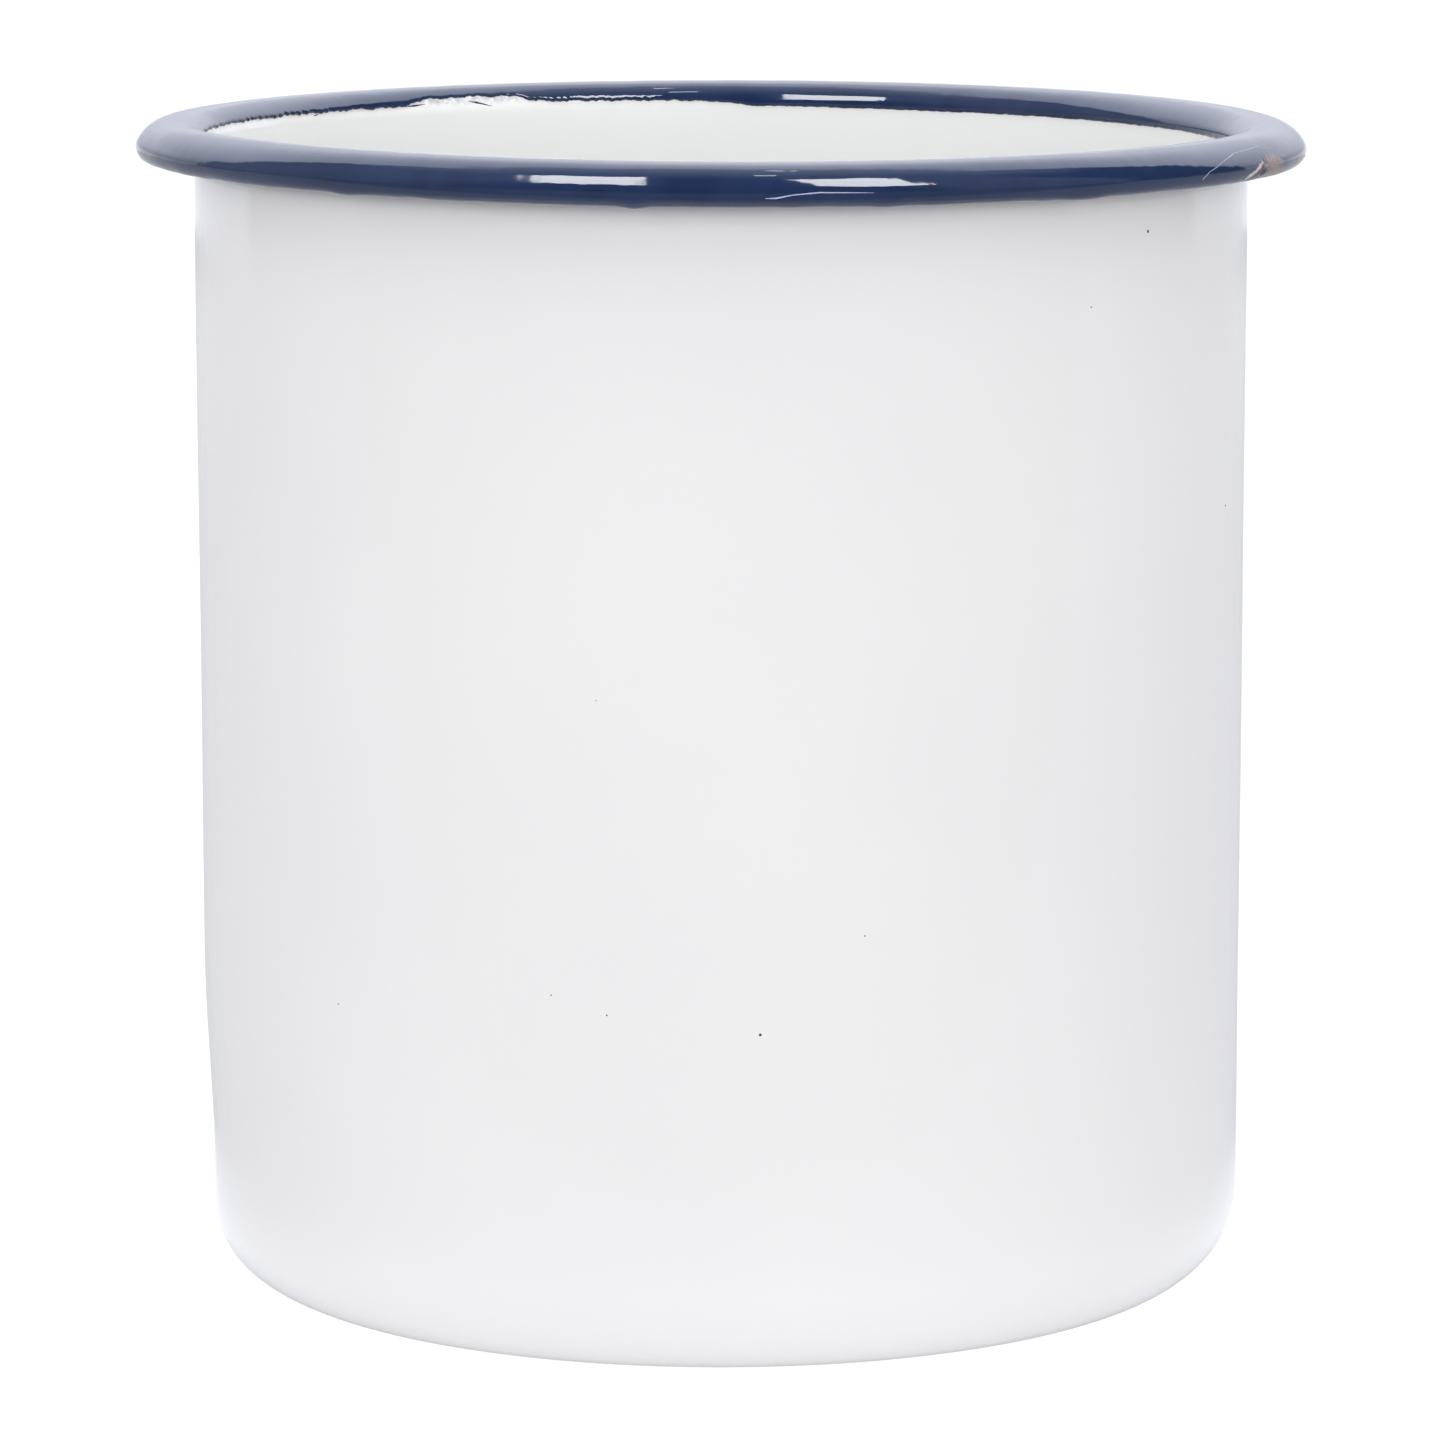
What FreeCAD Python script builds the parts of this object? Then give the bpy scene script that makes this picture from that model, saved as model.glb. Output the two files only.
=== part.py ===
"""Open enamelled pail: a seamless drawn steel body with a rolled rim, and its baked enamel coats.

Millimetres, +Z up. The origin is the centre of the base, on the surface that the pail stands on.
Every piece is a body of revolution about Z. All of them follow one line, the run of the sheet:
base panel, step, standing ring, base corner, wall, throat, crest, nose, underside and tuck of the
rolled rim. A face of a piece is that line at some depth, counted through the finished wall from
the outside surface (0) to the inside surface.
"""
import FreeCAD, Part
import os

import Sketcher

ORIGIN_POINT = (-1, 1)
HORIZONTAL_AXIS = -1
VERTICAL_AXIS = -2
START, END = 1, 2
ON_AXIS = 1e-9
SAME_POINT = 1e-6

# Driving dimensions in millimetres and degrees. Angles called lean are measured from straight up,
# outwards positive.
DIMENSIONS = {
    "overall_height": 140.0,
    "wall_radius": 62.6,         # outside, where the base corner ends
    "wall_draft": 0.11,          # the wall opens upwards by this angle
    "corner_radius": 11.0,       # base corner, outside
    "ring_inner_radius": 46.0,   # inner edge of the flat ring that the pail stands on
    "recess_height": 1.0,        # rise of the base panel inside that ring
    "recess_bend": 3.6,          # larger radius of each of the step's two bends
    "sheet_thickness": 0.6,
    "ground_coat": 0.12,
    "cover_coat": 0.23,
    "throat_radius": 2.4,        # hollow side of the wall's turn into the rim, finished surface
    "rim_tilt": 25.0,            # how far the rolled oval leans outwards and down
    "rim_flank_radius": 4.77,    # long sides of the oval, finished surface
    "rim_flank_turn": 34.6,      # half the turn of each long side
    "rim_nose_radius": 1.6,      # short ends of the oval, finished surface
    "tuck_turn": 15.4,           # how far the cut edge turns in under the crest
    "throat_coat_lean": -49.0,   # where the outside ground coat stops in the throat
    "navy_edge_lean": -67.0,     # where the white inside coat meets the navy rim
    "groove_fillet": 1.0,        # enamel gathered in the groove under the rim
}


def dim(alias):
    """The expression that reads one driving dimension from the sheet."""
    return "Dimensions." + alias


# Depths through the finished wall, from the outside surface inwards.
OUTSIDE = "0"
UNDER_OUTSIDE_COVER = dim("cover_coat")
STEEL_OUTSIDE = f"({UNDER_OUTSIDE_COVER} + {dim('ground_coat')})"
STEEL_INSIDE = f"({STEEL_OUTSIDE} + {dim('sheet_thickness')})"
UNDER_INSIDE_COVER = f"({STEEL_INSIDE} + {dim('ground_coat')})"
INSIDE = f"({UNDER_INSIDE_COVER} + {dim('cover_coat')})"


def polar(centre, radius, lean):
    """The point at a radius from a centre, in the direction that leans from straight up."""
    x, z = centre
    return (f"{x} + ({radius}) * sin({lean})", f"{z} + ({radius}) * cos({lean})")


# Leans at which one stretch of the rolled rim hands over to the next.
WALL_LEAN = f"{dim('wall_draft')} - 90"
CREST_START = f"{dim('rim_tilt')} - {dim('rim_flank_turn')}"
CREST_END = f"{dim('rim_tilt')} + {dim('rim_flank_turn')}"
NOSE_END = f"{dim('rim_tilt')} + 180 - {dim('rim_flank_turn')}"
UNDERSIDE_END = f"{dim('rim_tilt')} + 180 + {dim('rim_flank_turn')}"
TUCK_END = f"{UNDERSIDE_END} + {dim('tuck_turn')}"

# Centres of the bends. Both faces of the sheet and of every coat turn about the same centres.
CORNER_CENTRE = (f"{dim('wall_radius')} - {dim('corner_radius')}", dim("corner_radius"))
STEP_REACH = f"(2 * {dim('recess_bend')} - {INSIDE})"
STEP_TURN = f"(acos(1 - {dim('recess_height')} / {STEP_REACH}) / 1 deg)"
STEP_FOOT_CENTRE = (dim("ring_inner_radius"), dim("recess_bend"))
STEP_HEAD_CENTRE = polar(STEP_FOOT_CENTRE, STEP_REACH, f"180 + {STEP_TURN}")

THROAT_OUTER_RADIUS = f"({dim('throat_radius')} + {INSIDE})"
FLANK_LESS_THROAT = f"{dim('rim_flank_radius')} - {THROAT_OUTER_RADIUS}"
FLANK_LESS_NOSE = f"{dim('rim_flank_radius')} - {dim('rim_nose_radius')}"
BEND_SUM = f"({dim('corner_radius')} + {dim('throat_radius')})"
THROAT_Z = (f"({dim('overall_height')} - {dim('rim_flank_radius')}"
            f" + ({FLANK_LESS_THROAT}) * cos({CREST_START}))")
WALL_RISE = f"({THROAT_Z} - {dim('corner_radius')})"
THROAT_X = (f"({CORNER_CENTRE[0]} + {BEND_SUM} / cos({dim('wall_draft')})"
            f" + {WALL_RISE} * tan({dim('wall_draft')}))")
THROAT_CENTRE = (THROAT_X, THROAT_Z)
CREST_CENTRE = polar(THROAT_CENTRE, f"-({FLANK_LESS_THROAT})", CREST_START)
NOSE_CENTRE = polar(CREST_CENTRE, FLANK_LESS_NOSE, CREST_END)
UNDERSIDE_CENTRE = polar(NOSE_CENTRE, f"-({FLANK_LESS_NOSE})", NOSE_END)
TUCK_CENTRE = polar(UNDERSIDE_CENTRE, FLANK_LESS_NOSE, UNDERSIDE_END)


def wall_x(depth, height):
    """Radius of the leaning wall's face at a height."""
    return (f"{CORNER_CENTRE[0]} + ({dim('corner_radius')} - {depth}) / cos({dim('wall_draft')})"
            f" + ({height} - {dim('corner_radius')}) * tan({dim('wall_draft')})")


# The fillet of enamel in the groove touches the wall's outside and the rim's underside.
FILLET_X = f"({wall_x(OUTSIDE, THROAT_Z)} + {dim('groove_fillet')})"
FILLET_REACH = f"({dim('rim_flank_radius')} + {dim('groove_fillet')})"
FILLET_Z = (f"({UNDERSIDE_CENTRE[1]}"
            f" - sqrt({FILLET_REACH} ^ 2 - ({UNDERSIDE_CENTRE[0]} - {FILLET_X}) ^ 2))")
FILLET_LEAN = f"(180 + asin(({UNDERSIDE_CENTRE[0]} - {FILLET_X}) / {FILLET_REACH}) / 1 deg)"


def point(x, z):
    return ("point", (x, z))


def arc(centre, radius, first_lean, last_lean):
    return ("arc", centre, radius, first_lean, last_lean)


def base_panel(depth):
    """The sheet's middle, from the axis to the start of its step."""
    return [point("0", f"{dim('recess_height')} + {depth}")]


def base_and_corner(depth):
    """Step down to the standing ring, then the base corner up to the wall."""
    head_radius = f"{dim('recess_bend')} - {INSIDE} + {depth}"
    foot_radius = f"{dim('recess_bend')} - {depth}"
    corner = f"{dim('corner_radius')} - {depth}"
    return [
        arc(STEP_HEAD_CENTRE, head_radius, "0", STEP_TURN),
        arc(STEP_FOOT_CENTRE, foot_radius, f"180 + {STEP_TURN}", "180"),
        arc(CORNER_CENTRE, corner, "180", f"90 + {dim('wall_draft')}"),
    ]


def throat(depth, last_lean=CREST_START):
    """The wall's turn outwards, up to a lean."""
    return [arc(THROAT_CENTRE, f"{dim('throat_radius')} + {depth}", WALL_LEAN, last_lean)]


def roll(depth):
    """The rolled oval: crest, nose, underside and tuck, at a depth."""
    flank = f"{dim('rim_flank_radius')} - {INSIDE} + {depth}"
    nose = f"{dim('rim_nose_radius')} - {INSIDE} + {depth}"
    return [
        arc(CREST_CENTRE, flank, CREST_START, CREST_END),
        arc(NOSE_CENTRE, nose, CREST_END, NOSE_END),
        arc(UNDERSIDE_CENTRE, flank, NOSE_END, UNDERSIDE_END),
        arc(TUCK_CENTRE, nose, UNDERSIDE_END, TUCK_END),
    ]


def backwards(items):
    """The same stretch of outline, followed the other way."""
    turned = []
    for item in reversed(items):
        if item[0] == "arc":
            kind, centre, radius, first_lean, last_lean = item
            item = (kind, centre, radius, last_lean, first_lean)
        turned.append(item)
    return turned


def number(sheet, expression):
    """What an expression comes to."""
    value = sheet.evalExpression(expression)
    return float(getattr(value, "Value", value))


def position(sheet, place):
    return FreeCAD.Vector(number(sheet, place[0]), number(sheet, place[1]), 0)


def outline_edges(sheet, outline):
    """Edges of a closed outline: its arcs, and straight runs wherever two items don't touch.

    Each edge is (kind, first place, last place, centre, radius, turns clockwise).
    """
    pieces = []
    for item in outline:
        if item[0] == "point":
            pieces.append((item[1], item[1], None))
        else:
            _, centre, radius, first_lean, last_lean = item
            clockwise = number(sheet, last_lean) > number(sheet, first_lean)
            ends = (polar(centre, radius, first_lean), polar(centre, radius, last_lean))
            pieces.append((ends[0], ends[1], (centre, radius, clockwise)))
    edges = []
    for piece, following in zip(pieces, pieces[1:] + pieces[:1]):
        first, last, bend = piece
        if bend:
            edges.append(("arc", first, last) + bend)
        if position(sheet, last).distanceToPoint(position(sheet, following[0])) > SAME_POINT:
            edges.append(("line", last, following[0], None, None, None))
    return edges


def edge_geometry(sheet, edge):
    kind, first, last, centre, radius, clockwise = edge
    start, finish = position(sheet, first), position(sheet, last)
    if kind == "line":
        return Part.LineSegment(start, finish)
    middle = position(sheet, centre)
    circle = Part.Circle(middle, FreeCAD.Vector(0, 0, 1), number(sheet, radius))
    if clockwise:
        start, finish = finish, start
    return Part.ArcOfCircle(circle, circle.parameter(start), circle.parameter(finish))


def hold_coordinate(sketch, sheet, kind, vertex, expression):
    """Bind one coordinate of a vertex to an expression of the sheet's cells."""
    value = number(sheet, expression)
    if abs(value) < ON_AXIS:
        axis = VERTICAL_AXIS if kind == "DistanceX" else HORIZONTAL_AXIS
        sketch.addConstraint(Sketcher.Constraint("PointOnObject", *vertex, axis))
        return
    index = sketch.addConstraint(Sketcher.Constraint(kind, *ORIGIN_POINT, *vertex, value))
    sketch.setExpression(f"Constraints[{index}]", expression)


def draw_outline(sketch, sheet, outline):
    """Draw a closed outline and bind every vertex and every radius to the sheet."""
    edges = outline_edges(sheet, outline)
    geometry = [edge_geometry(sheet, edge) for edge in edges]
    sketch.addGeometry(geometry, False)
    heads = [(i, END if edge[5] else START) for i, edge in enumerate(edges)]
    tails = [(i, START if edge[5] else END) for i, edge in enumerate(edges)]
    for i, edge in enumerate(edges):
        following = (i + 1) % len(edges)
        sketch.addConstraint(Sketcher.Constraint("Coincident", *tails[i], *heads[following]))
        hold_coordinate(sketch, sheet, "DistanceX", heads[i], edge[1][0])
        hold_coordinate(sketch, sheet, "DistanceY", heads[i], edge[1][1])
        if edge[0] == "arc":
            index = sketch.addConstraint(Sketcher.Constraint("Radius", i, number(sheet, edge[4])))
            sketch.setExpression(f"Constraints[{index}]", edge[4])


def turned_body(document, sheet, name, outline):
    """One piece: its outline, turned once round the vertical axis."""
    body = document.addObject("PartDesign::Body", name)
    body.Label = name
    sketch = body.newObject("Sketcher::SketchObject", name + "_profile")
    plane = next(part for part in body.Origin.OriginFeatures if part.Role == "XZ_Plane")
    sketch.AttachmentSupport = (plane, [""])
    sketch.MapMode = "FlatFace"
    draw_outline(sketch, sheet, outline)
    document.recompute()
    turn = body.newObject("PartDesign::Revolution", name + "_turn")
    turn.Profile = sketch
    turn.ReferenceAxis = (sketch, ["V_Axis"])
    turn.Angle = 360.0
    sketch.Visibility = False
    body.Tip = turn
    body.Placement = FreeCAD.Placement()
    document.recompute()
    return body


def steel_shell():
    """The drawn sheet, from the middle of the base to the cut edge inside the rolled rim."""
    def face(depth):
        return base_panel(depth) + base_and_corner(depth) + throat(depth) + roll(depth)
    return face(STEEL_OUTSIDE) + backwards(face(STEEL_INSIDE))


def ground_enamel_inside():
    """Ground coat on the sheet's inside face, which becomes the outside of the rolled rim."""
    def face(depth):
        return base_panel(depth) + base_and_corner(depth) + throat(depth) + roll(depth)
    return face(STEEL_INSIDE) + backwards(face(UNDER_INSIDE_COVER))


def ground_enamel_outside():
    """Ground coat on the sheet's outside face, up into the throat under the rim."""
    def face(depth):
        return base_panel(depth) + base_and_corner(depth) + throat(depth, dim("throat_coat_lean"))
    return face(UNDER_OUTSIDE_COVER) + backwards(face(STEEL_OUTSIDE))


def white_enamel_inside():
    """White cover coat inside the pail, up to the navy rim."""
    def face(depth):
        return base_panel(depth) + base_and_corner(depth) + throat(depth, dim("navy_edge_lean"))
    return face(UNDER_INSIDE_COVER) + backwards(face(INSIDE))


def white_enamel_outside():
    """White cover coat outside, from under the base up to the groove under the rim."""
    def face(depth):
        top = point(wall_x(depth, FILLET_Z), FILLET_Z)
        return base_panel(depth) + base_and_corner(depth) + [top]
    return face(OUTSIDE) + backwards(face(UNDER_OUTSIDE_COVER))


def navy_rim_enamel():
    """Navy cover coat over the rolled rim, with the fillet that closes the groove below it."""
    surface = roll(INSIDE)
    crest, nose, underside = surface[0], surface[1], surface[2]
    inner_edge = arc(THROAT_CENTRE, THROAT_OUTER_RADIUS, dim("navy_edge_lean"), CREST_START)
    underside = arc(underside[1], underside[2], NOSE_END, FILLET_LEAN)
    fillet = arc((FILLET_X, FILLET_Z), dim("groove_fillet"), f"{FILLET_LEAN} - 180", "-90")
    seat_radius = f"{dim('throat_radius')} + {UNDER_INSIDE_COVER}"
    seat = [arc(THROAT_CENTRE, seat_radius, dim("navy_edge_lean"), CREST_START)]
    seat += roll(UNDER_INSIDE_COVER)
    groove = [point(wall_x(UNDER_OUTSIDE_COVER, FILLET_Z), FILLET_Z)]
    groove += throat(UNDER_OUTSIDE_COVER, dim("throat_coat_lean"))
    return [inner_edge, crest, nose, underside, fillet] + groove + backwards(seat)


PIECES = {
    "steel_shell": steel_shell,
    "ground_enamel_inside": ground_enamel_inside,
    "ground_enamel_outside": ground_enamel_outside,
    "white_enamel_inside": white_enamel_inside,
    "white_enamel_outside": white_enamel_outside,
    "navy_rim_enamel": navy_rim_enamel,
}


def make_sheet(document):
    """The spreadsheet of driving dimensions."""
    sheet = document.addObject("Spreadsheet::Sheet", "Dimensions")
    for row, (alias, value) in enumerate(DIMENSIONS.items(), start=1):
        sheet.set(f"A{row}", alias)
        sheet.set(f"B{row}", str(value))
        sheet.setAlias(f"B{row}", alias)
    document.recompute()
    return sheet


def check(document, bodies):
    """Stop before anything is written if an object failed or a shape is unsound."""
    for item in document.Objects:
        if "Invalid" in item.State or "Error" in item.State:
            raise RuntimeError(f"{item.Name} failed: {item.State}")
    for body in bodies:
        shape = body.Shape
        if shape.isNull() or not shape.isValid() or len(shape.Solids) != 1:
            raise RuntimeError(f"{body.Label} is not one sound solid")


def main():
    document = FreeCAD.newDocument("enamelled_pail")
    sheet = make_sheet(document)
    bodies = [turned_body(document, sheet, name, draw()) for name, draw in PIECES.items()]
    document.recompute()
    check(document, bodies)
    os.makedirs("parts", exist_ok=True)
    for body in bodies:
        body.Shape.exportStep(f"parts/{body.Label}.step")
        box = body.Shape.optimalBoundingBox(True, False)
        print(f"{body.Label}: {body.Shape.Volume:.1f} mm3, radius {box.XMax:.3f},"
              f" height {box.ZMin:.3f} to {box.ZMax:.3f}")


main()
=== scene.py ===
import math
import random

import bpy
from mathutils import Matrix, Vector, noise


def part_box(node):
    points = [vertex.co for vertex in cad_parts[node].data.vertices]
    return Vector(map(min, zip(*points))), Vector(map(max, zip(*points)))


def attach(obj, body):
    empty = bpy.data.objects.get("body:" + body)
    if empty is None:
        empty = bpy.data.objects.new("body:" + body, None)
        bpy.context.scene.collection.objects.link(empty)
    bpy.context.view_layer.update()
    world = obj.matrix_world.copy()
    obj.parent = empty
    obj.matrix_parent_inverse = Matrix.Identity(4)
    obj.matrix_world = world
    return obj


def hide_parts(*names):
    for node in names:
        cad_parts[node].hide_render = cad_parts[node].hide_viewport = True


# An open enamelled pail: white outside and inside, with a navy rolled rim. Metres, +Z up.
# All the layers follow one section of the sheet and settle together, so none shows through another.

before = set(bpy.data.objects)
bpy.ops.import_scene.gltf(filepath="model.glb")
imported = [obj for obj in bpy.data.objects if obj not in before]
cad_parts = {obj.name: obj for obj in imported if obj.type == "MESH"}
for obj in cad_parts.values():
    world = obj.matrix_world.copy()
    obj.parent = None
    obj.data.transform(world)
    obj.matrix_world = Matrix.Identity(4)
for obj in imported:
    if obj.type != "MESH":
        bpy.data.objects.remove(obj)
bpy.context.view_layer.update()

MM = 0.001

# ---------------------------------------------------------------- sizes, taken from the frame
OVERALL_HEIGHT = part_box("navy_rim_enamel")[1].z
GROOVE_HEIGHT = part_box("white_enamel_outside")[1].z
WALL_TOP_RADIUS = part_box("white_enamel_outside")[1].x

# Depths through the finished wall, from the outside surface inwards.
OUTSIDE = 0.0
UNDER_OUTSIDE_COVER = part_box("ground_enamel_outside")[0].z
STEEL_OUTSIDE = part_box("steel_shell")[0].z
STEEL_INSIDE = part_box("ground_enamel_inside")[0].z
UNDER_INSIDE_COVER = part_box("white_enamel_inside")[0].z
INSIDE = UNDER_INSIDE_COVER + UNDER_OUTSIDE_COVER

# The sheet's bends, as the design has them. Leans are in degrees from straight up, outwards positive.
WALL_DRAFT = 0.11
CORNER_RADIUS = 11.0 * MM
RING_INNER_RADIUS = 46.0 * MM
RECESS_HEIGHT = 1.0 * MM
RECESS_BEND = 3.6 * MM
THROAT_RADIUS = 2.4 * MM
RIM_TILT = 25.0
FLANK_RADIUS = 4.77 * MM
FLANK_TURN = 34.6
NOSE_RADIUS = 1.6 * MM
TUCK_TURN = 15.4
THROAT_COAT_LEAN = -49.0
GROOVE_FILLET = 1.0 * MM


def polar(centre, radius, lean):
    """The point of a section at a radius from a centre, in the direction that leans from straight up."""
    angle = math.radians(lean)
    return (centre[0] + radius * math.sin(angle), centre[1] + radius * math.cos(angle))


WALL_LEAN = WALL_DRAFT - 90
CREST_START = RIM_TILT - FLANK_TURN
CREST_END = RIM_TILT + FLANK_TURN
NOSE_END = RIM_TILT + 180 - FLANK_TURN
UNDERSIDE_END = RIM_TILT + 180 + FLANK_TURN
TUCK_END = UNDERSIDE_END + TUCK_TURN

DRAFT = math.radians(WALL_DRAFT)
FLANK_LESS_THROAT = FLANK_RADIUS - THROAT_RADIUS - INSIDE
THROAT_HEIGHT = OVERALL_HEIGHT - FLANK_RADIUS + FLANK_LESS_THROAT * math.cos(math.radians(CREST_START))
CORNER_CENTRE = (
    WALL_TOP_RADIUS - CORNER_RADIUS / math.cos(DRAFT) - (GROOVE_HEIGHT - CORNER_RADIUS) * math.tan(DRAFT),
    CORNER_RADIUS,
)
THROAT_CENTRE = (
    CORNER_CENTRE[0] + (CORNER_RADIUS + THROAT_RADIUS) / math.cos(DRAFT)
    + (THROAT_HEIGHT - CORNER_RADIUS) * math.tan(DRAFT),
    THROAT_HEIGHT,
)
CREST_CENTRE = polar(THROAT_CENTRE, -FLANK_LESS_THROAT, CREST_START)
NOSE_CENTRE = polar(CREST_CENTRE, FLANK_RADIUS - NOSE_RADIUS, CREST_END)
UNDERSIDE_CENTRE = polar(NOSE_CENTRE, NOSE_RADIUS - FLANK_RADIUS, NOSE_END)
TUCK_CENTRE = polar(UNDERSIDE_CENTRE, FLANK_RADIUS - NOSE_RADIUS, UNDERSIDE_END)
STEP_REACH = 2 * RECESS_BEND - INSIDE
STEP_TURN = math.degrees(math.acos(1 - RECESS_HEIGHT / STEP_REACH))
STEP_FOOT_CENTRE = (RING_INNER_RADIUS, RECESS_BEND)
STEP_HEAD_CENTRE = polar(STEP_FOOT_CENTRE, STEP_REACH, 180 + STEP_TURN)


# ---------------------------------------------------------------- the section of the sheet
def arc(centre, radius, first, last, steps):
    """Points along an arc of the section, both ends included."""
    return [polar(centre, radius, first + (last - first) * i / steps) for i in range(steps + 1)]


def run(first, last, steps):
    """Points between two points of the section, neither end included."""
    share = [i / steps for i in range(1, steps)]
    return [(first[0] + (last[0] - first[0]) * t, first[1] + (last[1] - first[1]) * t) for t in share]


def wall_radius(depth, height):
    """Radius of the leaning wall's face at a height."""
    return (CORNER_CENTRE[0] + (CORNER_RADIUS - depth) / math.cos(DRAFT)
            + (height - CORNER_RADIUS) * math.tan(DRAFT))


def base_face(depth, fine=1):
    """From the axis over the base panel, its step and the standing ring to the top of the corner."""
    head = arc(STEP_HEAD_CENTRE, RECESS_BEND - INSIDE + depth, 0, STEP_TURN, 4 * fine)
    foot = arc(STEP_FOOT_CENTRE, RECESS_BEND - depth, 180 + STEP_TURN, 180, 4 * fine)
    corner = arc(CORNER_CENTRE, CORNER_RADIUS - depth, 180, 90 + WALL_DRAFT, 10 * fine)
    middle = (0.0, RECESS_HEIGHT + depth)
    panel = run(middle, head[0], 4 * fine)
    ring = run(foot[-1], corner[0], 2)
    return [middle] + panel + head + foot[1:] + ring + corner


def wall_face(depth, top, fine=1):
    """The wall from the top of the corner up to a height, the first point left out."""
    foot = (wall_radius(depth, CORNER_RADIUS), CORNER_RADIUS)
    head = (wall_radius(depth, top), top)
    return run(foot, head, 24 * fine) + [head]


def throat_face(depth, last=CREST_START, fine=1):
    """The wall's turn outwards, up to a lean."""
    return arc(THROAT_CENTRE, THROAT_RADIUS + depth, WALL_LEAN, last, 6 * fine)[1:]


def roll_face(depth, fine=1):
    """Crest, nose, underside and tuck of the rolled rim, the first point left out."""
    flank = FLANK_RADIUS - INSIDE + depth
    nose = NOSE_RADIUS - INSIDE + depth
    crest = arc(CREST_CENTRE, flank, CREST_START, CREST_END, 8 * fine)
    front = arc(NOSE_CENTRE, nose, CREST_END, NOSE_END, 8 * fine)
    underside = arc(UNDERSIDE_CENTRE, flank, NOSE_END, UNDERSIDE_END, 8 * fine)
    tuck = arc(TUCK_CENTRE, nose, UNDERSIDE_END, TUCK_END, 2)
    return crest[1:] + front[1:] + underside[1:] + tuck[1:]


# ---------------------------------------------------------------- how the real pail is out of true
RIM_TIP = (math.radians(-0.138), math.radians(-0.189))   # the mouth's fall along +X and along +Y
DENT_AZIMUTH = 180.0
DENT_DEPTH = 0.9 * MM
DENT_LOW, DENT_HIGH = 8 * MM, 40 * MM
DENT_SPREAD = 38.0
WOBBLE = 0.10 * MM
# The rolled edge's own rise, in millimetres, round the mouth. Azimuth 0 is +X and 270 the near side.
CURL_LIFT = [(0, -0.05), (70, 0.05), (150, -0.1), (205, 0.25), (280, -0.1)]


def smooth(low, high, value):
    """0 below low, 1 above high, with a smooth rise between."""
    share = min(1.0, max(0.0, (value - low) / (high - low)))
    return share * share * (3 - 2 * share)


def turned_by(first, second):
    """Smallest angle between two azimuths, in degrees."""
    return abs((first - second + 180) % 360 - 180)


def between(stops, at):
    """Smooth value between (place, value) stops round the circle."""
    at = (at - stops[0][0]) % 360 + stops[0][0]
    closed = stops + [(stops[0][0] + 360, stops[0][1])]
    for (low, first), (high, last) in zip(closed, closed[1:]):
        if low <= at <= high:
            return first + (last - first) * smooth(low, high, at)
    return stops[0][1]


def settle(x, y, z):
    """Where a point of the true turned shape lies on the real pail, which is slightly out of true."""
    radius = math.hypot(x, y)
    if radius < 1e-6:
        return (x, y, z)
    azimuth = math.degrees(math.atan2(y, x))
    rise = smooth(20 * MM, OVERALL_HEIGHT, z)
    tipped = z + rise * (x * math.tan(RIM_TIP[0]) + y * math.tan(RIM_TIP[1]))
    aside = math.exp(-(turned_by(azimuth, DENT_AZIMUTH) / DENT_SPREAD) ** 2)
    dent = DENT_DEPTH * aside * smooth(2 * MM, 12 * MM, z) * (1 - smooth(14 * MM, DENT_HIGH, z))
    outer = smooth(40 * MM, 60 * MM, radius)
    around = Vector((math.cos(math.radians(azimuth)), math.sin(math.radians(azimuth)), z / (60 * MM)))
    grown = WOBBLE * noise.noise(around * 1.3) * smooth(10 * MM, 40 * MM, z)
    scale = (radius - outer * dent + outer * grown) / radius
    curled = smooth(63.2 * MM, 66 * MM, radius) * smooth(120 * MM, 132 * MM, z)
    return (x * scale, y * scale, tipped + curled * between(CURL_LIFT, azimuth) * MM)


# ---------------------------------------------------------------- meshes
def make_object(name, verts, faces, material):
    mesh = bpy.data.meshes.new(name)
    mesh.from_pydata(verts, [], faces)
    mesh.validate()
    mesh.update()
    mesh.shade_smooth()
    mesh.materials.append(material)
    piece = bpy.data.objects.new(name, mesh)
    bpy.context.scene.collection.objects.link(piece)
    return piece


def turn(name, outline, segments, material):
    """A closed piece turned about Z from an outline that starts and ends on the axis or closes on itself."""
    on_axis = [i for i, point in enumerate(outline) if point[0] < 1e-9]
    verts, rows = [], []
    for i, (radius, height) in enumerate(outline):
        if i in on_axis:
            rows.append([len(verts)] * segments)
            verts.append(settle(0.0, 0.0, height))
            continue
        first = len(verts)
        rows.append([first + k for k in range(segments)])
        for k in range(segments):
            angle = 2 * math.pi * k / segments
            verts.append(settle(radius * math.cos(angle), radius * math.sin(angle), height))
    faces = []
    for i in range(len(rows)):
        lower, upper = rows[i], rows[(i + 1) % len(rows)]
        if i in on_axis and (i + 1) % len(rows) in on_axis:
            continue
        for k in range(segments):
            n = (k + 1) % segments
            corners = [lower[k], lower[n], upper[n], upper[k]]
            faces.append(list(dict.fromkeys(corners)))
    return make_object(name, verts, faces, material)


# ---------------------------------------------------------------- the navy rim
RIM_SEGMENTS = 2160
COVERED_LEAN = -25.0        # the white inside coat runs up under the navy to here
COVERED_TOP = GROOVE_HEIGHT + 0.45 * MM
OVERLAP = 0.04 * MM         # how far the navy stands above the white coat that it covers, at the least
GATHER_RADIUS = 4.6 * MM    # roundness of the thick navy inside the mouth, down to this lean
GATHER_END = -69.0
LIP_REACH = 0.35 * MM

# Depth of the navy's hand-dipped inner edge below the top, in millimetres: deep on the right, shallower on
# the left, with a bay on the far left where the white comes up. Azimuth 0 is +X and 90 the far side.
EDGE = [
    (0, 3.4), (60, 3.2), (85, 3.0), (92, 2.4), (108, 2.2), (113, 2.0), (115, 1.4), (126, 1.4), (131, 2.2),
    (180, 2.0), (240, 2.0), (280, 2.8), (330, 3.0),
]
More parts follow.
